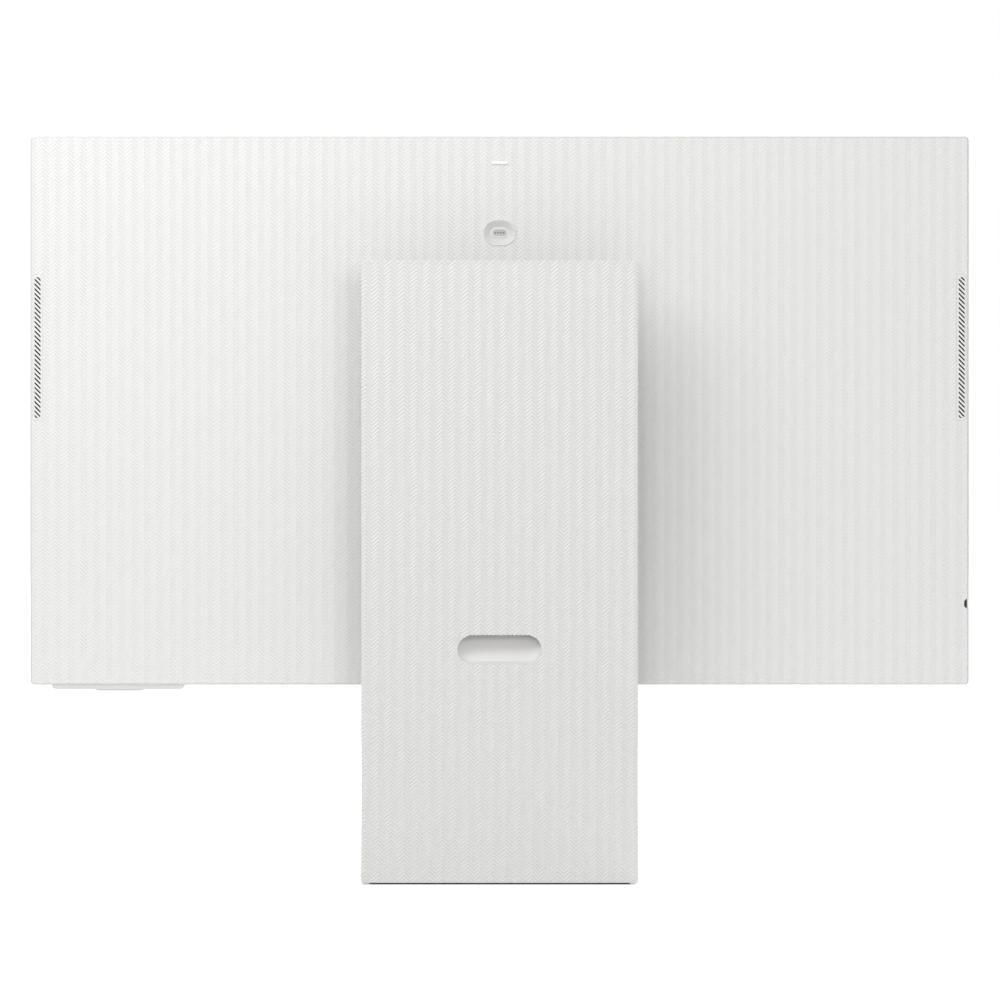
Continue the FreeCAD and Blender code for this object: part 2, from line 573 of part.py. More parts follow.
# ---------------------------------------------------------------- display: panel and electronics
def front_frame():
    shell = plate(-HALF_W, HALF_W, HEAD_BOTTOM, TOTAL_H, HEAD_FRONT, COVER_SPLIT - SEAM, HEAD_CORNER)
    shell = shell.makeChamfer(0.5, rim_edges(shell, HEAD_FRONT))
    half = HALF_W - RIM
    window = plate(-half, half, PANEL_BOTTOM, PANEL_TOP, HEAD_FRONT - 1, COVER_SPLIT, HEAD_CORNER - 1.2)
    inner = HALF_W - 4
    chin_hollow = box(-inner, inner, HEAD_FRONT + 2, COVER_SPLIT, HEAD_BOTTOM + SKIN, PANEL_BOTTOM - RIM)
    return cut(shell, [window, chin_hollow])


def panel_sheet(y0, y1, inset, r=1.5):
    half = HALF_W - RIM - inset
    return plate(-half, half, PANEL_BOTTOM + inset, PANEL_TOP - inset, y0, y1, r)


def display_cell():
    return panel_sheet(CELL_FRONT, CELL_FRONT + CELL_T, 0.25)


def optical_sheets():
    return panel_sheet(SHEETS_FRONT, SHEETS_FRONT + SHEETS_T, 3.0)


def light_guide():
    half = HALF_W - 5
    return plate(-half, half, PANEL_BOTTOM + 7, PANEL_TOP - 4, GUIDE_FRONT, GUIDE_FRONT + GUIDE_T, 0.5)


def light_bar():
    """Edge light under the light guide: a board strip with its row of emitters."""
    low = PANEL_BOTTOM + 3.2
    strip = box(-HALF_W + 8, HALF_W - 8, GUIDE_FRONT, GUIDE_FRONT + GUIDE_T, low, low + 1.6)
    count = 44
    step = (HEAD_W - 30) / (count - 1)
    leds = [box(x - 2.4, x + 2.4, GUIDE_FRONT + 0.3, GUIDE_FRONT + 1.7, low + 1.6, low + 2.6)
            for x in [-HALF_W + 15 + step * k for k in range(count)]]
    return joined([strip, *leds])


def panel_back_plate():
    """Pressed sheet behind the panel, with the posts that carry the main board."""
    sheet = panel_sheet(BACKPLATE_FRONT, BACKPLATE_REAR, 3.0)
    posts = standoffs()
    return cut(joined([sheet, *[post for post, bore in posts]]), [bore for post, bore in posts])


def rear_cover():
    shell = plate(-HALF_W, HALF_W, HEAD_BOTTOM, TOTAL_H, COVER_SPLIT, HEAD_REAR, HEAD_CORNER)
    shell = shell.makeChamfer(EDGE_CHAMFER, rim_edges(shell, HEAD_REAR))

    def inset_plate(inset, y0, y1, r):
        return plate(-HALF_W + inset, HALF_W - inset, HEAD_BOTTOM + inset, TOTAL_H - inset, y0, y1, r)

    inside = inset_plate(SKIN, COVER_SPLIT - 1, HEAD_REAR - SKIN, 1.5)
    lip_out = inset_plate(RIM + SEAM, COVER_SPLIT - 1.2, COVER_SPLIT + 0.5, 1.6)
    lip_in = inset_plate(RIM + 1.2, COVER_SPLIT - 2, COVER_SPLIT + 1, 1)
    lip_gap = box(-HALF_W, HALF_W, COVER_SPLIT - 2, COVER_SPLIT, HEAD_BOTTOM, PANEL_BOTTOM + 2.5)
    shell = joined([cut(shell, [inside]), cut(lip_out, [lip_in, lip_gap])])
    rib_low, rib_high, rib_rear = RIB_Z - RIB_H / 2, RIB_Z + RIB_H / 2, HEAD_REAR + RIB_PROUD
    shell = joined([shell, plate(-RIB_W / 2, RIB_W / 2, rib_low, rib_high, HEAD_REAR - 0.3, rib_rear, 0.4)])
    through0, through1 = HEAD_REAR - SKIN - 1, HEAD_REAR + 1
    tools = [plate(-POD_HALF + 4, POD_HALF - 4, POD_BOTTOM + 4, POD_TOP - 4, through0, through1, 6)]
    for s in (-1, 1):
        x0, x1 = sorted((s * (GRILLE_IN - 0.1), s * (GRILLE_OUT + 0.1)))
        tools.append(plate(x0, x1, GRILLE_BOTTOM - 0.1, GRILLE_TOP + 0.1, through0, through1, 1.6))
    tools.append(dock_outline(0.1, through0, through1))
    tools += lock_cuts()
    return cut(shell, tools)


def lock_cuts():
    """The lock notch: a flared opening in the rear face and the standard 3 by 7 slot in the side."""
    a, b = LOCK_OPEN / 2, LOCK_NARROW / 2
    mouth = [(-LOCK_EDGE, -a), (-LOCK_EDGE, a), (-LOCK_INNER, b), (-LOCK_INNER, -b)]
    flare = prism([(x, HEAD_REAR - SKIN - 1, LOCK_Z + z) for x, z in mouth], V(0, SKIN + 3, 0))
    x1, y0, y1 = -HALF_W + SKIN + 1, COVER_SPLIT - 0.1, COVER_SPLIT + 2.9
    slot = box(-HALF_W - 1, x1, y0, y1, LOCK_Z - 3.5, LOCK_Z + 3.5)
    return [flare, slot]


def lock_plate():
    """Steel catch behind the lock slot."""
    x0 = -HALF_W + SKIN + 1.3
    wall = box(x0, x0 + 1.2, BACKPLATE_REAR + 0.3, HEAD_REAR - SKIN - 0.1, LOCK_Z - 9, LOCK_Z + 9)
    foot = box(x0, x0 + 14, BACKPLATE_REAR + 0.1, BACKPLATE_REAR + 1.1, LOCK_Z - 9, LOCK_Z + 9)
    slot = box(x0 - 1, x0 + 3, COVER_SPLIT - 0.7, COVER_SPLIT + 2.1, LOCK_Z - 3.5, LOCK_Z + 3.5)
    return cut(joined([wall, foot]), [slot])


def speaker_grille(side):
    """A flush insert with slanted slots. Both sides slant the same way."""
    x0, x1 = sorted((side * GRILLE_IN, side * GRILLE_OUT))
    insert = plate(x0, x1, GRILLE_BOTTOM, GRILLE_TOP, HEAD_REAR - 1.2, HEAD_REAR, 1.5)
    a, b = sorted((side * SLOT_IN, side * SLOT_OUT))
    mid = (a + b) / 2
    window = plate(a, b, SLOT_BOTTOM, SLOT_TOP, HEAD_REAR - 2, HEAD_REAR + 1, 2.2)
    slots = []
    count = int((SLOT_TOP - SLOT_BOTTOM) / SLOT_PITCH) + 2
    for k in range(count):
        slot = plate(-4, 4, -SLOT_W / 2, SLOT_W / 2, HEAD_REAR - 2, HEAD_REAR + 1)
        slot.rotate(V(0, 0, 0), Y_AXIS, -45)
        slot.translate(V(mid, 0, SLOT_BOTTOM + SLOT_PITCH * (k - 0.1)))
        slots.append(slot.common(window))
    return cut(insert, [s for s in slots if s.Volume > 0.5])


def speaker_cloths():
    found = []
    for s in (-1, 1):
        x0, x1 = sorted((s * (GRILLE_IN + 0.4), s * (GRILLE_OUT - 0.4)))
        y0, y1 = HEAD_REAR - 1.7, HEAD_REAR - 1.25
        found.append(plate(x0, x1, GRILLE_BOTTOM + 0.4, GRILLE_TOP - 0.4, y0, y1, 1))
    return found


def speaker(side):
    """A slim sound box with an oval driver and a small round one."""
    x0, x1 = sorted((side * SPEAKER_IN, side * SPEAKER_OUT))
    low, high = BACKPLATE_REAR + 0.2, HEAD_REAR - SKIN - 0.2
    enclosure = plate(x0, x1, 345, 466, low, high, 4)
    mouth = box(*sorted((side * 345.0, side * 352.5)), low + 0.6, high - 0.3, 352, 459)
    enclosure = joined([enclosure, mouth])
    mid = (x0 + x1) / 2
    well = oblong(18, 385, 28, high - 1.4, high + 1, mid)
    tweeter_well = cyl(9, V(mid, high - 1.4, 442), Y_AXIS, 3)
    return cut(enclosure, [well, tweeter_well])


def speaker_drivers():
    high = HEAD_REAR - SKIN - 0.2
    found = []
    for s in (-1, 1):
        mid = s * 323.0
        cone = oblong(17.8, 385, 27.6, high - 1.4, high - 0.6, mid)
        cap = oblong(9, 385, 12, high - 0.6, high - 0.2, mid)
        found.append(joined([cone, cap]))
        ring = cyl(8.8, V(mid, high - 1.4, 442), Y_AXIS, 0.8)
        found.append(joined([ring, cyl(4.5, V(mid, high - 0.6, 442), Y_AXIS, 0.4)]))
    return found


def dock_outline(grow, y0, y1):
    return oblong(DOCK_W / 2 + 0.9 + grow, DOCK_Z, DOCK_H + 1.8 + 2 * grow, y0, y1)


def dock_cup():
    """Dished magnetic dock for a clip-on camera."""
    floor_y = HEAD_REAR - 2.2
    body = dock_outline(0, HEAD_REAR - 3.4, HEAD_REAR)
    half_w, half_h = DOCK_W / 2, DOCK_H / 2
    wide = outline(-half_w, half_w, DOCK_Z - half_h, DOCK_Z + half_h, half_h, HEAD_REAR)
    narrow = outline(-7.2, 7.2, DOCK_Z - 4.3, DOCK_Z + 4.3, 4.3, floor_y)
    dish = Part.makeLoft([narrow, wide], True, True)
    body = cut(body, [dish])
    ring = oblong(6.55, DOCK_Z, 7.4, floor_y - 0.1, floor_y + 0.6)
    well = oblong(5.2, DOCK_Z, 4.9, HEAD_REAR - 4, HEAD_REAR + 1)
    return cut(joined([body, ring]), [well])


def dock_contacts():
    block = oblong(5.1, DOCK_Z, 4.8, HEAD_REAR - 3.4, HEAD_REAR - 2.0)
    sockets = [cyl(0.52, V(-3.06 + 2.04 * k, HEAD_REAR - 2.6, DOCK_Z), Y_AXIS, 2) for k in range(4)]
    return cut(block, sockets)


def dock_magnets():
    return [cyl(5, V(x, BACKPLATE_REAR + 0.3, DOCK_Z), Y_AXIS, 3) for x in (-19.5, 19.5)]


def timing_board():
    """Drives the panel's rows and columns; below the pod."""
    board = box(-110, 110, BACKPLATE_REAR, BACKPLATE_REAR + 1, 170, 198)
    chips = [box(x, x + 12, BACKPLATE_REAR + 1, BACKPLATE_REAR + 2, 178, 190) for x in (-60, -6, 48)]
    return joined([board, *chips])


def power_board():
    """Converts the adapter's supply and drives the edge light."""
    board = box(120, 220, BACKPLATE_REAR, BACKPLATE_REAR + 1, 215, 275)
    top = BACKPLATE_REAR + 1
    coils = [box(128 + 18 * k, 140 + 18 * k, top, top + 2.4, 240, 252) for k in range(5)]
    capacitors = [cyl(3, V(132 + 15 * k, top, 225), Y_AXIS, 2.4) for k in range(6)]
    return joined([board, *coils, *capacitors])


def inner_leads():
    """Leads from the main board's underside to both speakers and to the control bar."""
    lead_y, board_y, plug_x = BACKPLATE_REAR + 2.6, BOARD_REAR - BOARD_T, BOARD_HALF - 3
    found = []
    for s in (-1, 1):
        found.append(tube([(s * plug_x, board_y, 296), (s * plug_x, lead_y, 296), (s * 120, lead_y, 312),
                           (s * 175, lead_y, 350), (s * 230, lead_y, 372), (s * 284, lead_y, 380),
                           (s * SPEAKER_IN, lead_y, 380)], LEAD_R))
    found.append(tube([(plug_x, board_y, 226), (plug_x, lead_y, 226), (112, lead_y, 206), (160, lead_y, 186),
                       (215, lead_y, 172), (262, lead_y, 155)], LEAD_R))
    return found


# ---------------------------------------------------------------- display: control bar
def control_bar():
    """Housing under the chin for the power key, the microphone switch and the receiver."""
    low, high = HEAD_BOTTOM - BAR_H, HEAD_BOTTOM
    profile = [(BAR_IN, high), (BAR_OUT, high), (BAR_OUT - 0.4, low + 0.9), (BAR_OUT - 3.6, low),
               (BAR_IN + 2.8, low), (BAR_IN + 1.4, low + 1.2)]
    shell = prism([(x, BAR_FRONT, z) for x, z in profile], V(0, BAR_REAR - BAR_FRONT, 0))
    key_well = box(KEY_IN - SEAM, KEY_OUT + SEAM, KEY_FRONT - SEAM, KEY_REAR + SEAM, low - 1, high - 1.0)
    switch_well = box(316, 334, 26, 30, low - 1, high - 1.4)
    lens_well = box(247, 263, BAR_FRONT - 1, BAR_FRONT + 1.6, low + 0.6, high - 0.5)
    microphones = [cyl(0.5, V(x, 28, low - 1), Z_AXIS, 2.2) for x in (256, 262)]
    return cut(shell, [key_well, switch_well, lens_well, *microphones])


def power_key():
    low = HEAD_BOTTOM - BAR_H
    crown = low - KEY_PROUD
    flange = low + 1.5
    profile = [(KEY_IN, low), (KEY_IN + 6, crown), (KEY_OUT - 3.4, crown), (KEY_OUT, low), (KEY_OUT, flange),
               (KEY_IN, flange)]
    return prism([(x, KEY_FRONT, z) for x, z in profile], V(0, KEY_REAR - KEY_FRONT, 0))


def button_board():
    """Small board in the control bar, with the switch that the power key presses."""
    strip = box(KEY_IN, KEY_OUT, KEY_FRONT, KEY_REAR, HEAD_BOTTOM - 1.4, HEAD_BOTTOM - 1.0)
    dome = cyl(1.8, V((KEY_IN + KEY_OUT) / 2, 28, HEAD_BOTTOM - 1.4 - KEY_SWITCH_H), Z_AXIS, KEY_SWITCH_H)
    return joined([strip, dome])


def mute_switch():
    low = HEAD_BOTTOM - BAR_H
    knob = box(317, 325, 26.2, 29.8, low + 0.3, low + 2.0)
    ridges = [box(x, x + 0.7, 26.2, 29.8, low, low + 0.3) for x in (318.4, 320.65, 322.9)]
    return joined([knob, *ridges])


def receiver_lens():
    low = HEAD_BOTTOM - BAR_H
    return box(247.1, 262.9, BAR_FRONT - 0.1, BAR_FRONT + 1.5, low + 0.7, HEAD_BOTTOM - 0.6)


# ---------------------------------------------------------------- every node
PARTS = {
    "base_plate": base_plate,
    "base_cover": base_cover,
    "base_pad": base_pad,
    "base_screws": base_screws,
    "neck_rear_panel": neck_rear_panel,
    "neck_front_cover": neck_front_cover,
    "neck_frame": neck_frame,
    "cable_duct": cable_duct,
    "slide_rails": slide_rails,
    "travel_stops": travel_stops,
    "spring_spindles": spring_spindles,
    "spring_coil_left": lambda: spring_coil(1),
    "spring_coil_right": lambda: spring_coil(-1),
    "spring_tape_left": lambda: spring_tape(1),
    "spring_tape_right": lambda: spring_tape(-1),
    "carriage_plate": carriage_plate,
    "slider_pads": slider_pads,
    "hinge_arm": hinge_arm,
    "arm_screws": arm_screws,
    "hinge_cover": hinge_cover,
    "hinge_pin": hinge_pin,
    "pin_nut": pin_nut,
    "friction_washers": friction_washers,
    "tilt_springs": tilt_springs,
    "mount_bracket": mount_bracket,
    "release_latch": release_latch,
    "mount_frame": mount_frame,
    "vesa_nuts": vesa_nuts,
    "pod_cover": pod_cover,
    "main_board": main_board,
    "board_screws": board_screws,
    "processor": processor,
    "heat_spreader": heat_spreader,
    "wireless_card": wireless_card,
    "data_sockets": data_sockets,
    "power_socket": power_socket,
    "front_frame": front_frame,
    "display_cell": display_cell,
    "optical_sheets": optical_sheets,
    "light_guide": light_guide,
    "light_bar": light_bar,
    "panel_back_plate": panel_back_plate,
    "rear_cover": rear_cover,
    "lock_plate": lock_plate,
    "speaker_grille_left": lambda: speaker_grille(1),
    "speaker_grille_right": lambda: speaker_grille(-1),
    "speaker_cloths": speaker_cloths,
    "speaker_boxes": lambda: [speaker(1), speaker(-1)],
    "speaker_drivers": speaker_drivers,
    "dock_cup": dock_cup,
    "dock_contacts": dock_contacts,
    "dock_magnets": dock_magnets,
    "timing_board": timing_board,
    "power_board": power_board,
    "inner_leads": inner_leads,
    "control_bar": control_bar,
    "button_board": button_board,
    "power_key": power_key,
    "mute_switch": mute_switch,
    "receiver_lens": receiver_lens,
}


def main():
    os.makedirs("parts", exist_ok=True)
    for name, make in PARTS.items():
        made = make()
        shape = Part.makeCompound(made) if isinstance(made, list) else made
        solids = shape.Solids
        bad = [s for s in solids if not s.isValid() or s.Volume <= 0]
        if bad or not solids:
            print("PROBLEM", name, len(solids), "solids", len(bad), "bad")
        shape.exportStep("parts/" + name + ".step")


main()
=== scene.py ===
import json
import math
import bmesh
import bpy
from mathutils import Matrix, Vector


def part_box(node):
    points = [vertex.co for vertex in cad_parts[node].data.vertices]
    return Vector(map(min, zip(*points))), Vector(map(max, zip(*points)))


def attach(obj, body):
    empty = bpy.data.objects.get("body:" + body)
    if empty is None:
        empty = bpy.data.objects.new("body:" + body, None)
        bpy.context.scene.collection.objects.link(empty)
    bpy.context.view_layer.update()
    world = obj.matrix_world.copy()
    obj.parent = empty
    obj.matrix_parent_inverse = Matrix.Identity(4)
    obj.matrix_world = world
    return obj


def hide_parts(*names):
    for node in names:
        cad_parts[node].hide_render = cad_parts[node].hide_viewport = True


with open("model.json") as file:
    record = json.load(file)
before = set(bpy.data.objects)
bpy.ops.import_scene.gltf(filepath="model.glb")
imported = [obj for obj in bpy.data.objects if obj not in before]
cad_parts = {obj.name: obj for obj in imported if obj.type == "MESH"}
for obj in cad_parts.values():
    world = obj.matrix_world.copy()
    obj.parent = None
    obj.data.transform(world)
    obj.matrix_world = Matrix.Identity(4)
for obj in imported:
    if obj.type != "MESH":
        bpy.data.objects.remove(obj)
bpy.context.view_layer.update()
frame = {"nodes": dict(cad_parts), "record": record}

MM = 0.001
NODES = frame["nodes"]
SLOT_OF = {row["node"]: row["material_slot"] for row in frame["record"]["subparts"]}

# ---------------------------------------------------------------- places, read from the frame
HEAD_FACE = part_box("speaker_grille_left")[1].y  # plane of the display's back
NECK_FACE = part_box("neck_rear_panel")[1].y
CONTACT_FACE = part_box("dock_contacts")[1].y

# ---------------------------------------------------------------- relief on the display and the column
COLUMN_W = 4.824 * MM  # one half of a zigzag
GROOVE_PITCH = 2.96 * MM
GROOVE_RISE = 1.5 * GROOVE_PITCH  # how far a groove climbs across one column
GROOVE_STEPS = (0.0, 1.0)  # crest, valley
GROOVE_DEPTH = {"rear_cover": 0.28 * MM, "neck_rear_panel": 0.55 * MM}
GROOVE_SHIFT = {"rear_cover": -4.25 * MM, "neck_rear_panel": 0.0}
GROOVE_FACE = {"rear_cover": HEAD_FACE, "neck_rear_panel": NECK_FACE}
SLAB_SPARE = 2 * MM  # how far the grooved block reaches past the front of its node
WELD = 1e-6

# ---------------------------------------------------------------- small pieces on the display
DOCK_Z = 493.1 * MM
DOCK_HALF_W, DOCK_RADIUS = 12.2 * MM, 9.5 * MM
RIM_W, RIM_PROUD = 1.1 * MM, 0.55 * MM
RIM_TURNS, RIM_SIDES = 72, 12
PIN_COUNT, PIN_PITCH = 4, 2.04 * MM
PIN_RADIUS, PIN_SINK = 0.56 * MM, 0.45 * MM
RIB_Z = 546.3 * MM
RIB_W, RIB_H, RIB_PROUD = 12.8 * MM, 2.2 * MM, 1.1 * MM
RIB_EDGE = 0.3 * MM
NOTCH_Z = 210.85 * MM
NOTCH_IN, NOTCH_OUT = 353.65 * MM, 355.5 * MM
NOTCH_HALF_IN, NOTCH_HALF_OUT = 1.85 * MM, 3.9 * MM
SHADE_SHEET_NEAR, SHADE_SHEET_FAR = 0.6 * MM, 2.4 * MM  # depths of the near-black sheet of painted shade in the lock notch, below the display's back
SHADE_SHEET_EDGE = 0.15 * MM
SCREEN_BORDER = 6.5 * MM

# ---------------------------------------------------------------- camera and studio
CAMERA_X, CAMERA_HEIGHT = -0.0003, 0.2897
CAMERA_DISTANCE = 7.474  # from the display's back
LENS, SENSOR_W = 353.6, 36.0
CLIP_NEAR, CLIP_FAR = 0.1, 200.0
AMBIENT, AMBIENT_TINT = 0.445, (1.0, 0.995, 0.985)
BACKDROP = (1, 1, 1)
LIGHTS = {  # place, target, size and power
    "key": ((0.62, 0.74, 1.20), (0.15, 0, 0.40), (0.8, 0.8), 6.9),
    "soft": ((-0.35, 6.2, 1.3), (0, 0, 0.3), (3.5, 2.0), 150),
    "front": ((-1.6, -3.0, 2.0), (0, 0, 0.3), (2.2, 1.6), 95),
}
FLOOR_SIZE, FLOOR_DROP = 60, 0.2 * MM
FLOOR_TONE, FLOOR_ROUGHNESS = (0.88, 0.88, 0.875), 0.9
FLOOR_GLOW = (0.45, 0.80)  # near and far: lifts the floor to the white of the backdrop where it is seen
GLOW_REACH = (0.4, 2.5)  # distances from the middle where the near and the far glow hold

# ---------------------------------------------------------------- the shell's look
WHITE = (0.7035, 0.701, 0.692)
SHELL_ROUGHNESS = 0.40
SHELL_GRAIN, SHELL_GRAIN_HEIGHT = 1700, 0.006 * MM
DRIFT = 0.975  # darker end of the slow drift of tone in moulded plastic
STRIPE_PAINTED_LIGHT = 0.014  # painted light: the half-columns that rise to the right of the rear view are painted a touch paler and the others a touch darker, as the light from the upper left falls on them
GLOSS_SPREAD = 0.05
NOISE_LOW, NOISE_HIGH = 0.3, 0.7  # where nearly all of a noise texture's values lie
TRACE_LIFT = (2.2, 1.9, 1.6)  # copper under solder mask, against the mask alone
OWN_FINISH = {  # nodes whose look differs from their slot's
    # painted light: the cable duct is lighter than the shell, offsetting the shade inside it
    "cable_duct": "duct_painted_light",
    # painted shade: the control bar is darker, for the display's shade over it
    "control_bar": "bar_painted_shade",
    # painted shade: the dock cup is darker than the shell, deepening the shade in its dish
    "dock_cup": "cup_painted_shade",
    "lock_plate": "black_steel",
}


def link(obj):
    bpy.context.scene.collection.objects.link(obj)
    return obj


# ---------------------------------------------------------------- camera, light and floor
def make_camera():
    data = bpy.data.cameras.new("camera")
    data.lens = LENS
    data.sensor_width = SENSOR_W
    data.clip_start = CLIP_NEAR
    data.clip_end = CLIP_FAR
    camera = link(bpy.data.objects.new("camera", data))
    camera.location = (CAMERA_X, HEAD_FACE + CAMERA_DISTANCE, CAMERA_HEIGHT)
    camera.rotation_euler = (math.radians(90), 0, math.radians(180))
    bpy.context.scene.camera = camera


def area_light(name, place, target, size, power):
    data = bpy.data.lights.new(name, "AREA")
    data.shape = "RECTANGLE"
    data.size, data.size_y = size
    data.energy = power
    light = link(bpy.data.objects.new(name, data))
    light.location = place
    aim = Vector(target) - Vector(place)
    light.rotation_euler = aim.to_track_quat("-Z", "Y").to_euler()
    light.visible_camera = False


def make_world():
    """A white studio: the backdrop is white to the eye, and its light is softer."""
    world = bpy.data.worlds.new("studio")
    bpy.context.scene.world = world
    world.use_nodes = True
    nodes, links = world.node_tree.nodes, world.node_tree.links
    nodes.clear()
    out = nodes.new("ShaderNodeOutputWorld")
    mix = nodes.new("ShaderNodeMixShader")
    path = nodes.new("ShaderNodeLightPath")
    lit = nodes.new("ShaderNodeBackground")
    lit.inputs["Strength"].default_value = AMBIENT
    lit.inputs["Color"].default_value = (*AMBIENT_TINT, 1)
    seen = nodes.new("ShaderNodeBackground")
    seen.inputs["Color"].default_value = (*BACKDROP, 1)
    links.new(path.outputs["Is Camera Ray"], mix.inputs["Fac"])
    links.new(lit.outputs[0], mix.inputs[1])
    links.new(seen.outputs[0], mix.inputs[2])
    links.new(mix.outputs[0], out.inputs["Surface"])


def make_floor():
    bpy.ops.mesh.primitive_plane_add(size=FLOOR_SIZE, location=(0, 0, -FLOOR_DROP))
    floor = bpy.context.object
    floor.name = "floor"
    finish = Finish("floor", FLOOR_TONE, FLOOR_ROUGHNESS)
    finish.shader.inputs["Emission Color"].default_value = (*BACKDROP, 1)
    finish.shader.inputs["Specular IOR Level"].default_value = 0.0
    reach = finish.nodes.new("ShaderNodeVectorMath")
    reach.operation = "LENGTH"
    finish.links.new(finish.place, reach.inputs[0])
    fade = finish.ramp(reach.outputs["Value"], *GLOW_REACH, *FLOOR_GLOW)
    seen = finish.nodes.new("ShaderNodeLightPath").outputs["Is Camera Ray"]
    glow = finish.math("MULTIPLY", seen, fade)
    finish.links.new(glow, finish.shader.inputs["Emission Strength"])
    floor.data.materials.append(finish.material)


# ---------------------------------------------------------------- materials
class Finish:
    """One material and helpers for its nodes, on coordinates fixed to the part."""

    def __init__(self, name, colour, roughness, metallic=0.0):
        self.material = bpy.data.materials.new(name)
        self.material.use_nodes = True
        self.nodes, self.links = self.material.node_tree.nodes, self.material.node_tree.links
        self.shader = self.nodes["Principled BSDF"]
        self.shader.inputs["Base Color"].default_value = (*colour, 1)
        self.shader.inputs["Roughness"].default_value = roughness
        self.shader.inputs["Metallic"].default_value = metallic
        self.place = self.nodes.new("ShaderNodeTexCoord").outputs["Object"]

    def feed(self, socket, value):
        """Sets a socket to a number or a colour, or links it to another node's output."""
        if isinstance(value, (int, float)):
            socket.default_value = value
        elif isinstance(value, tuple):
            socket.default_value = (*value, 1)
        else:
            self.links.new(value, socket)

    def noise(self, scale, detail, stretch=(1, 1, 1)):
        mapping = self.nodes.new("ShaderNodeMapping")
        mapping.inputs["Scale"].default_value = stretch
        self.links.new(self.place, mapping.inputs["Vector"])
        noise = self.nodes.new("ShaderNodeTexNoise")
        noise.inputs["Scale"].default_value = scale
        noise.inputs["Detail"].default_value = detail
        self.links.new(mapping.outputs[0], noise.inputs["Vector"])
        return noise.outputs["Fac"]

    def ramp(self, value, low, high, to_low, to_high):
        node = self.nodes.new("ShaderNodeMapRange")
        node.inputs["From Min"].default_value = low
        node.inputs["From Max"].default_value = high
        node.inputs["To Min"].default_value = to_low
        node.inputs["To Max"].default_value = to_high
        self.links.new(value, node.inputs["Value"])
        return node.outputs["Result"]

    def math(self, operation, *values):
        node = self.nodes.new("ShaderNodeMath")
        node.operation = operation
        for socket, value in zip(node.inputs, values):
            self.feed(socket, value)
        return node.outputs[0]

    def mix(self, factor, first, second):
        node = self.nodes.new("ShaderNodeMix")
        node.data_type = "RGBA"
        for socket, value in zip(("Factor", "A", "B"), (factor, first, second)):
            self.feed(node.inputs[socket], value)
        return node.outputs["Result"]

    def colour(self, factor, first, second):
        self.links.new(self.mix(factor, first, second), self.shader.inputs["Base Color"])

    def rough(self, factor, low, high):
        gloss = self.ramp(factor, NOISE_LOW, NOISE_HIGH, low, high)
        self.links.new(gloss, self.shader.inputs["Roughness"])

    def bump(self, height, distance):
        node = self.nodes.new("ShaderNodeBump")
        node.inputs["Strength"].default_value = 1.0
        node.inputs["Distance"].default_value = distance
        self.links.new(height, node.inputs["Height"])
        self.links.new(node.outputs["Normal"], self.shader.inputs["Normal"])


def shaded(colour, share):
    return tuple(c * share for c in colour)


def moulded(finish, roughness, grain, grain_height):
    """Patchy gloss and the fine grain of the mould."""
    gloss = finish.noise(scale=60, detail=4)
    finish.rough(gloss, roughness - GLOSS_SPREAD, roughness + GLOSS_SPREAD)
    finish.bump(finish.noise(scale=grain, detail=1), grain_height)


def plastic(name, colour, roughness, grain=1400, grain_height=0.012 * MM, drift=DRIFT):
    """Moulded plastic, with a slow drift of tone."""
    finish = Finish(name, colour, roughness)
    finish.colour(finish.noise(scale=7, detail=3), shaded(colour, drift), colour)
    moulded(finish, roughness, grain, grain_height)
    return finish.material


def painted_light_stripes(name, colour, roughness, shift):
    """The shell's plastic, with painted light: every other half-column of the relief a touch paler and
    the rest a touch darker, as light from the upper left falls on them.
    """
    finish = Finish(name, colour, roughness)
    parts = finish.nodes.new("ShaderNodeSeparateXYZ")
    finish.links.new(finish.place, parts.inputs[0])
    along = finish.math("DIVIDE", finish.math("SUBTRACT", parts.outputs[0], shift), 2 * COLUMN_W)
    odd = finish.math("GREATER_THAN", finish.math("FRACT", along), 0.5)
    drift = finish.noise(scale=7, detail=3)
    # painted highlight and painted shade: the two tones of the half-columns
    painted_shaded_half, painted_lit_half = (finish.mix(drift, shaded(colour, DRIFT + tone), shaded(colour, 1 + tone))
                 for tone in (-STRIPE_PAINTED_LIGHT, STRIPE_PAINTED_LIGHT))
    finish.colour(odd, painted_shaded_half, painted_lit_half)
    moulded(finish, roughness, SHELL_GRAIN, SHELL_GRAIN_HEIGHT)
    return finish.material


def metal(name, colour, roughness, stretch=(1, 1, 1), scale=900, height=0.004 * MM):
    """Metal with a rolled or turned grain along the short direction of stretch."""
    finish = Finish(name, colour, roughness, metallic=1.0)
    grain = finish.noise(scale, detail=3, stretch=stretch)
    finish.colour(grain, shaded(colour, 0.86), colour)
    patches = finish.noise(scale / 3, detail=3, stretch=stretch)
    finish.rough(patches, roughness - 0.08, roughness + 0.10)
    finish.bump(grain, height)
    return finish.material


def painted(name, colour, roughness):
    """Powder coat: an orange-peel skin over metal."""
    finish = Finish(name, colour, roughness)
    finish.colour(finish.noise(scale=11, detail=2), shaded(colour, 0.97), colour)
    finish.rough(finish.noise(scale=90, detail=3), roughness - 0.06, roughness + 0.06)
    finish.bump(finish.noise(scale=480, detail=2), 0.03 * MM)
    finish.shader.inputs["Coat Weight"].default_value = 0.15
    finish.shader.inputs["Coat Roughness"].default_value = 0.3
    return finish.material


def rubber(name, colour):
    """Matt rubber, greyed by dust in patches."""
    finish = Finish(name, colour, 0.8)
    dust = finish.noise(scale=25, detail=5)
    finish.colour(dust, colour, shaded(colour, 1.7))
    finish.rough(dust, low=0.72, high=0.9)
    finish.bump(finish.noise(scale=700, detail=3), 0.05 * MM)
    return finish.material


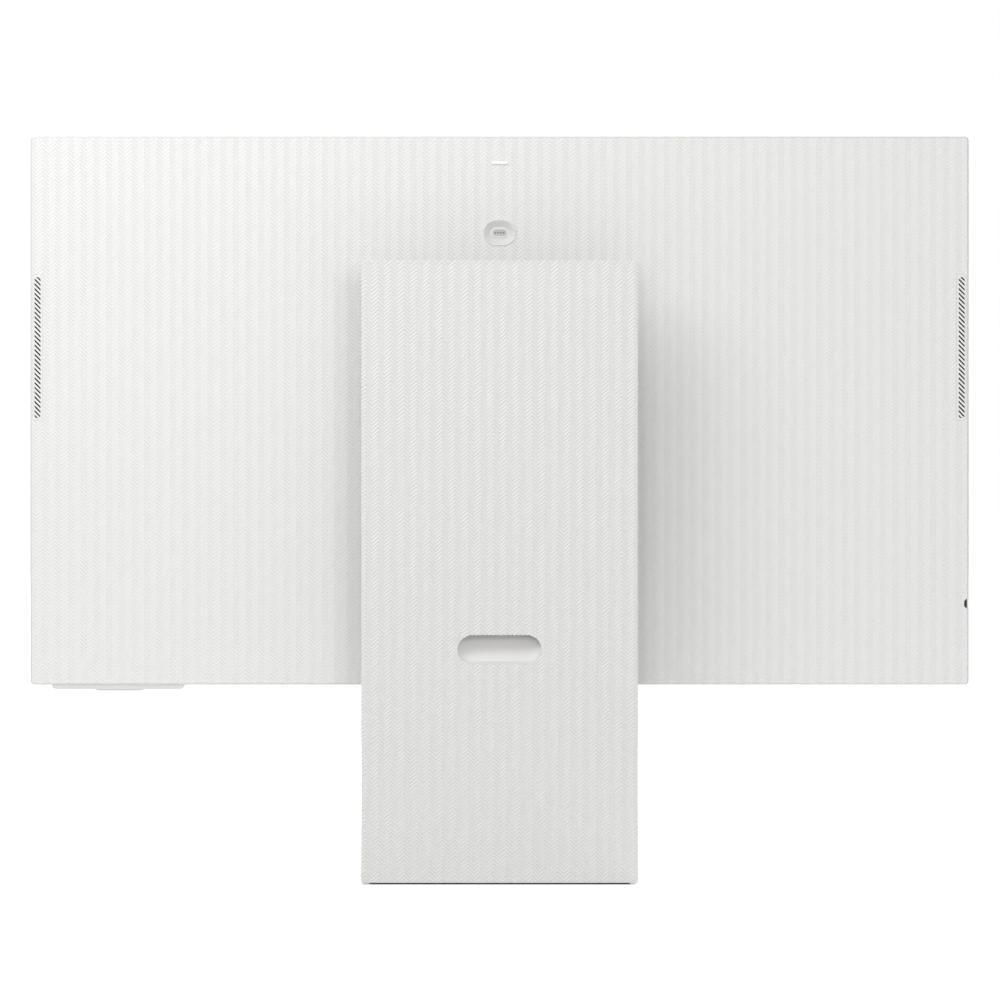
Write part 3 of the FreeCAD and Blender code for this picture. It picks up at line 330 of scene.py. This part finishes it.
def circuit(name, mask):
    """Solder mask over copper: traces as the mortar of a turned brick pattern."""
    finish = Finish(name, mask, 0.35)
    turn = finish.nodes.new("ShaderNodeMapping")
    turn.inputs["Rotation"].default_value = (math.radians(90), 0, 0)
    finish.links.new(finish.place, turn.inputs["Vector"])
    brick = finish.nodes.new("ShaderNodeTexBrick")
    brick.inputs["Scale"].default_value = 160
    brick.inputs["Mortar Size"].default_value = 0.05
    brick.inputs["Color1"].default_value = (0, 0, 0, 1)
    brick.inputs["Color2"].default_value = (0.25, 0.25, 0.25, 1)
    brick.inputs["Mortar"].default_value = (1, 1, 1, 1)
    finish.links.new(turn.outputs[0], brick.inputs["Vector"])
    traces = tuple(c * lift for c, lift in zip(mask, TRACE_LIFT))
    finish.colour(brick.outputs["Color"], mask, traces)
    finish.rough(finish.noise(scale=200, detail=2), low=0.28, high=0.42)
    finish.bump(brick.outputs["Color"], 0.03 * MM)
    return finish.material


def woven(name, colour):
    """Fine mesh cloth: two crossed sets of threads."""
    finish = Finish(name, colour, 0.9)
    threads = []
    for direction in ("X", "Z"):
        wave = finish.nodes.new("ShaderNodeTexWave")
        wave.bands_direction = direction
        wave.inputs["Scale"].default_value = 700
        finish.links.new(finish.place, wave.inputs["Vector"])
        threads.append(wave.outputs["Fac"])
    both = finish.math("MULTIPLY", *threads)
    finish.colour(both, shaded(colour, 0.3), colour)
    finish.bump(both, 0.06 * MM)
    finish.shader.inputs["Sheen Weight"].default_value = 0.2
    return finish.material


def screen(name):
    """A panel that is off: a near-black picture area in a blacker border, under a low-glare coat."""
    finish = Finish(name, (0.004, 0.004, 0.005), 0.24)
    low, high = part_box("display_cell")
    parts = finish.nodes.new("ShaderNodeSeparateXYZ")
    finish.links.new(finish.place, parts.inputs[0])
    inside = []
    for axis in (0, 2):
        offset = finish.math("SUBTRACT", parts.outputs[axis], (low[axis] + high[axis]) / 2)
        reach = (high[axis] - low[axis]) / 2 - SCREEN_BORDER
        inside.append(finish.math("LESS_THAN", finish.math("ABSOLUTE", offset), reach))
    picture = finish.math("MULTIPLY", *inside)
    cloud = finish.noise(scale=3, detail=1)
    tone = finish.mix(cloud, (0.0068, 0.0072, 0.0090), (0.0090, 0.0092, 0.0108))
    finish.colour(picture, (0.0015, 0.0015, 0.0016), tone)
    finish.rough(finish.noise(scale=30, detail=2), low=0.16, high=0.22)
    finish.bump(finish.noise(scale=2600, detail=1), 0.001 * MM)
    finish.shader.inputs["Specular IOR Level"].default_value = 0.28
    finish.shader.inputs["Specular Tint"].default_value = (0.86, 0.88, 1.0, 1)
    return finish.material


def diffuser(name, colour):
    """Milky plastic of the light guide and the film stack."""
    finish = Finish(name, colour, 0.25)
    finish.colour(finish.noise(scale=12, detail=2), shaded(colour, 0.97), colour)
    finish.rough(finish.noise(scale=300, detail=2), low=0.2, high=0.34)
    finish.bump(finish.noise(scale=1800, detail=1), 0.004 * MM)
    finish.shader.inputs["Transmission Weight"].default_value = 0.2
    return finish.material


def make_materials():
    shell = (SHELL_ROUGHNESS, SHELL_GRAIN, SHELL_GRAIN_HEIGHT)
    return {
        "textured_shell": plastic("textured_shell", WHITE, *shell),
        "smooth_shell": plastic("smooth_shell", WHITE, 0.5),
        "base_steel": metal("base_steel", (0.56, 0.57, 0.58), 0.42, (1, 1, 0.2), 260, 0.01 * MM),
        "white_metal": painted("white_metal", shaded(WHITE, 0.97), 0.45),
        "rubber": rubber("rubber", (0.045, 0.045, 0.046)),
        "spring_steel": metal("spring_steel", (0.32, 0.34, 0.38), 0.28, (1, 0.1, 1), 1500),
        "bright_steel": metal("bright_steel", (0.68, 0.68, 0.69), 0.25, (1, 0.15, 1), 1200),
        "acetal": plastic("acetal", (0.72, 0.70, 0.64), 0.35),
        "circuit_board": circuit("circuit_board", (0.012, 0.085, 0.045)),
        "silicon": plastic("silicon", (0.05, 0.05, 0.056), 0.22, 2500, 0.002 * MM),
        "heat_sink": metal("heat_sink", (0.80, 0.81, 0.82), 0.34, (1, 1, 0.08), 1100, 0.008 * MM),
        "screen": screen("screen"),
        "diffuser": diffuser("diffuser", (0.86, 0.87, 0.89)),
        "speaker_cloth": woven("speaker_cloth", (0.020, 0.020, 0.021)),
        "black_plastic": plastic("black_plastic", (0.014, 0.014, 0.015), 0.5, 1200, 0.02 * MM, 0.8),
        "contact_pad": plastic("contact_pad", (0.42, 0.42, 0.415), 0.4),
        "grey_plastic": plastic("grey_plastic", (0.40, 0.40, 0.395), 0.45),
        # painted light: the display's shell carries painted stripes of light and shade
        "head_shell_painted_stripes": painted_light_stripes("head_shell_painted_stripes", WHITE, SHELL_ROUGHNESS, GROOVE_SHIFT["rear_cover"]),
        # painted shade: the column's shell is a shaded copy of the white, darker where it stands in its
        # light
        "neck_painted_shade": plastic("neck_painted_shade", shaded(WHITE, 0.965), *shell),
        # painted shade: the dock cup darker than the shell, for the shade in its dish
        "cup_painted_shade": plastic("cup_painted_shade", shaded(WHITE, 0.92), 0.5),
        # painted highlight: the rib is paler than the shell
        "rib_painted_highlight": plastic("rib_painted_highlight", shaded(WHITE, 1.14), 0.45),
        # painted shade: the contacts are near-black for the shade of their sockets
        "pin_painted_shade": plastic("pin_painted_shade", (0.016, 0.015, 0.014), 0.45),
        # painted shade: near-black for the shade inside the lock notch
        "lock_painted_shade": plastic("lock_painted_shade", (0.006, 0.006, 0.006), 0.6),
        # painted light: the duct is lighter than the shell, against the shade inside it
        "duct_painted_light": plastic("duct_painted_light", (0.76, 0.757, 0.746), 0.5),
        # painted shade: the bar is darker, for the shade of the display above it
        "bar_painted_shade": plastic("bar_painted_shade", shaded(WHITE, 0.88), 0.42),
        "black_steel": metal("black_steel", (0.035, 0.035, 0.037), 0.4),
    }


def paint(obj, material):
    obj.data.materials.clear()
    obj.data.materials.append(material)
    for polygon in obj.data.polygons:
        polygon.material_index = 0


# ---------------------------------------------------------------- pieces with relief
def mesh_object(name, mesh):
    return link(bpy.data.objects.new(name, mesh))


def bridge(mesh, one, two):
    """Faces between two closed loops of as many vertices each."""
    for k in range(len(one)):
        n = (k + 1) % len(one)
        mesh.faces.new((one[n], one[k], two[k], two[n]))


def to_data(name, mesh):
    bmesh.ops.recalc_face_normals(mesh, faces=mesh.faces)
    data = bpy.data.meshes.new(name)
    mesh.to_mesh(data)
    mesh.free()
    return data


def groove_slab(name, low, high, node):
    """A closed block whose +Y face carries the zigzag grooves. It covers low to high in X and Z."""
    columns = math.ceil((high.x - low.x) / COLUMN_W / 2) + 2
    rows_below = math.ceil((GROOVE_RISE - low.z) / GROOVE_PITCH) + 2
    rows_above = math.ceil(high.z / GROOVE_PITCH) + 2
    rows = (rows_below + rows_above) * len(GROOVE_STEPS)
    step = GROOVE_PITCH / len(GROOVE_STEPS)
    mesh = bmesh.new()
    grid = []
    for i in range(-columns, columns + 1):
        x = i * COLUMN_W + GROOVE_SHIFT[node]
        rise = GROOVE_RISE if i % 2 else 0.0
        column = []
        for j in range(rows + 1):
            y = GROOVE_FACE[node] - GROOVE_DEPTH[node] * GROOVE_STEPS[j % len(GROOVE_STEPS)]
            z = j * step - rows_below * GROOVE_PITCH + rise
            column.append(mesh.verts.new((x, y, z)))
        grid.append(column)
    for left, right in zip(grid, grid[1:]):
        for j in range(rows):
            mesh.faces.new((left[j], left[j + 1], right[j + 1], right[j]))
    border = grid[0] + [column[-1] for column in grid[1:-1]]
    border += grid[-1][::-1] + [column[0] for column in grid[-2:0:-1]]
    back = [mesh.verts.new((v.co.x, low.y - SLAB_SPARE, v.co.z)) for v in border]
    bridge(mesh, border, back)
    mesh.faces.new(back[::-1])
    return mesh_object(name, to_data(name, mesh))


def intersect(obj, tool):
    """Keeps the part of obj that is inside tool, and removes tool."""
    modifier = obj.modifiers.new("relief", "BOOLEAN")
    modifier.operation = "INTERSECT"
    modifier.solver = "MANIFOLD"
    modifier.object = tool
    bpy.context.view_layer.update()
    evaluated = obj.evaluated_get(bpy.context.evaluated_depsgraph_get())
    made = bpy.data.meshes.new_from_object(evaluated)
    obj.modifiers.clear()
    obj.data = made
    bpy.data.objects.remove(tool)


def grooved(name, node, body, material):
    """The CAD part with its rear face cut to the zigzag relief."""
    slab = groove_slab(name + "_slab", *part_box(node), node)
    piece = mesh_object(name, NODES[node].data.copy())
    mesh = bmesh.new()
    mesh.from_mesh(piece.data)
    bmesh.ops.remove_doubles(mesh, verts=mesh.verts, dist=WELD)
    mesh.to_mesh(piece.data)
    mesh.free()
    intersect(piece, slab)
    for polygon in piece.data.polygons:
        polygon.use_smooth = False
    paint(piece, MATERIAL[material])
    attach(piece, body)
    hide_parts(node)


# ---------------------------------------------------------------- small pieces on the display
def soften(mesh, offset, segments):
    """Rounds every edge."""
    bmesh.ops.bevel(mesh, geom=mesh.edges[:], offset=offset, segments=segments, profile=0.5,
                    affect="EDGES")


def smooth_piece(name, mesh, material, body):
    data = to_data(name, mesh)
    for polygon in data.polygons:
        polygon.use_smooth = True
    piece = mesh_object(name, data)
    paint(piece, MATERIAL[material])
    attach(piece, body)


def dock_rim():
    """A rounded bead round the mouth of the dock."""
    mesh = bmesh.new()
    rings = []
    for k in range(RIM_TURNS):
        turn = 2 * math.pi * (k + 0.5) / RIM_TURNS
        out = Vector((math.cos(turn), 0, math.sin(turn)))
        side = math.copysign(DOCK_HALF_W - DOCK_RADIUS, out.x)
        middle = Vector((side, HEAD_FACE, DOCK_Z)) + out * DOCK_RADIUS
        ring = []
        for j in range(RIM_SIDES):
            angle = 2 * math.pi * j / RIM_SIDES
            across, up = RIM_W / 2 * math.cos(angle), RIM_PROUD * math.sin(angle)
            ring.append(mesh.verts.new(middle + out * across + Vector((0, up, 0))))
        rings.append(ring)
    for ring, following in zip(rings, rings[1:] + rings[:1]):
        bridge(mesh, following, ring)
    smooth_piece("dock_rim", mesh, "smooth_shell", "display")


def dock_pins():
    """Domed contacts, each standing in its socket, painted near-black for the shade of the socket."""
    mesh = bmesh.new()
    for k in range(PIN_COUNT):
        ball = bmesh.ops.create_uvsphere(mesh, u_segments=20, v_segments=12, radius=PIN_RADIUS)
        for v in ball["verts"]:
            v.co.x += (k - (PIN_COUNT - 1) / 2) * PIN_PITCH
            v.co.y += CONTACT_FACE - PIN_SINK
            v.co.z += DOCK_Z
    smooth_piece("dock_pins", mesh, "pin_painted_shade", "display")


def lock_shade_sheet():
    """A near-black sheet of painted shade inside the lock notch, a little below the cover's face."""
    mesh = bmesh.new()
    corners = ((NOTCH_IN, NOTCH_HALF_IN), (NOTCH_OUT, NOTCH_HALF_OUT),
               (NOTCH_OUT, -NOTCH_HALF_OUT), (NOTCH_IN, -NOTCH_HALF_IN))
    near, far = ([mesh.verts.new((-x, y, NOTCH_Z + z)) for x, z in corners]
                 for y in (HEAD_FACE - SHADE_SHEET_NEAR, HEAD_FACE - SHADE_SHEET_FAR))
    mesh.faces.new(near)
    mesh.faces.new(far[::-1])
    bridge(mesh, near, far)
    soften(mesh, SHADE_SHEET_EDGE, 2)
    smooth_piece("lock_shade_sheet", mesh, "lock_painted_shade", "display")


def rear_rib():
    """The raised locating bar above the dock, painted paler than the shell as a painted highlight."""
    mesh = bmesh.new()
    bmesh.ops.create_cube(mesh, size=1.0)
    for v in mesh.verts:
        v.co = Vector((v.co.x * RIB_W, HEAD_FACE + v.co.y * 2 * RIB_PROUD,
                       RIB_Z + v.co.z * RIB_H))
    soften(mesh, RIB_EDGE, 3)
    smooth_piece("rear_rib", mesh, "rib_painted_highlight", "display")


# ---------------------------------------------------------------- the scene
MATERIAL = make_materials()
make_camera()
make_world()
make_floor()
for name, (place, target, size, power) in LIGHTS.items():
    area_light(name, place, target, size, power)

for node, obj in NODES.items():
    paint(obj, MATERIAL[OWN_FINISH.get(node, SLOT_OF[node])])

grooved("rear_cover_relief", "rear_cover", "display", "head_shell_painted_stripes")
grooved("neck_panel_relief", "neck_rear_panel", "stand", "neck_painted_shade")
lock_shade_sheet()
dock_rim()
dock_pins()
rear_rib()

bpy.context.scene.view_settings.view_transform = "Standard"
